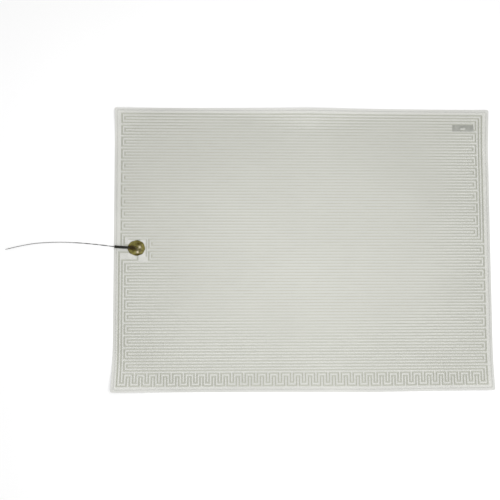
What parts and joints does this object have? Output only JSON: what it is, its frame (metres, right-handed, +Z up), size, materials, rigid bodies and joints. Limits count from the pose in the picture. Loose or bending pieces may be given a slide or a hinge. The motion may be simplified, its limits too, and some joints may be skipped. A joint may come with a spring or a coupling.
{
  "type": "seedling heat mat",
  "caption": "Thin flexible heating film with an etched foil track between clear films, a potted solder terminal and a fine two-wire lead.",
  "frame": {"origin": "middle of the base film's underside", "axes": "+Z up through the mat, +X along the long side away from the leads, +Y along the short side towards the rating patch"},
  "size_m": [0.5125, 0.3, 0.0047],
  "materials": {
    "polyester_film": "satin, translucent",
    "laminating_adhesive": "clear hot melt, translucent",
    "resistance_foil": "etched, dull",
    "printed_grey": "screen print, matte",
    "amber_resin": "gloss, translucent",
    "black_sleeve": "satin heat-shrink",
    "hot_melt_liner": "hot melt, dark amber",
    "solder": "bright solder under resin",
    "tinned_copper": "tinned strand",
    "wire_insulation": "satin"
  },
  "bodies": {
    "root": {"base_film": "polyester_film", "base_adhesive": "laminating_adhesive", "heating_foil": "resistance_foil", "cover_adhesive": "laminating_adhesive", "cover_film": "polyester_film", "rating_patch": "printed_grey", "potting_dome": "amber_resin", "heat_shrink_sleeve": "black_sleeve", "sleeve_liner": "hot_melt_liner", "upper_solder_joint": "solder", "lower_solder_joint": "solder", "upper_bare_end": "tinned_copper", "lower_bare_end": "tinned_copper", "upper_core": "wire_insulation", "lower_core": "wire_insulation", "upper_lead": "wire_insulation", "lower_lead": "wire_insulation", "upper_tinned_tip": "tinned_copper", "lower_tinned_tip": "tinned_copper"}
  },
  "joints": []
}
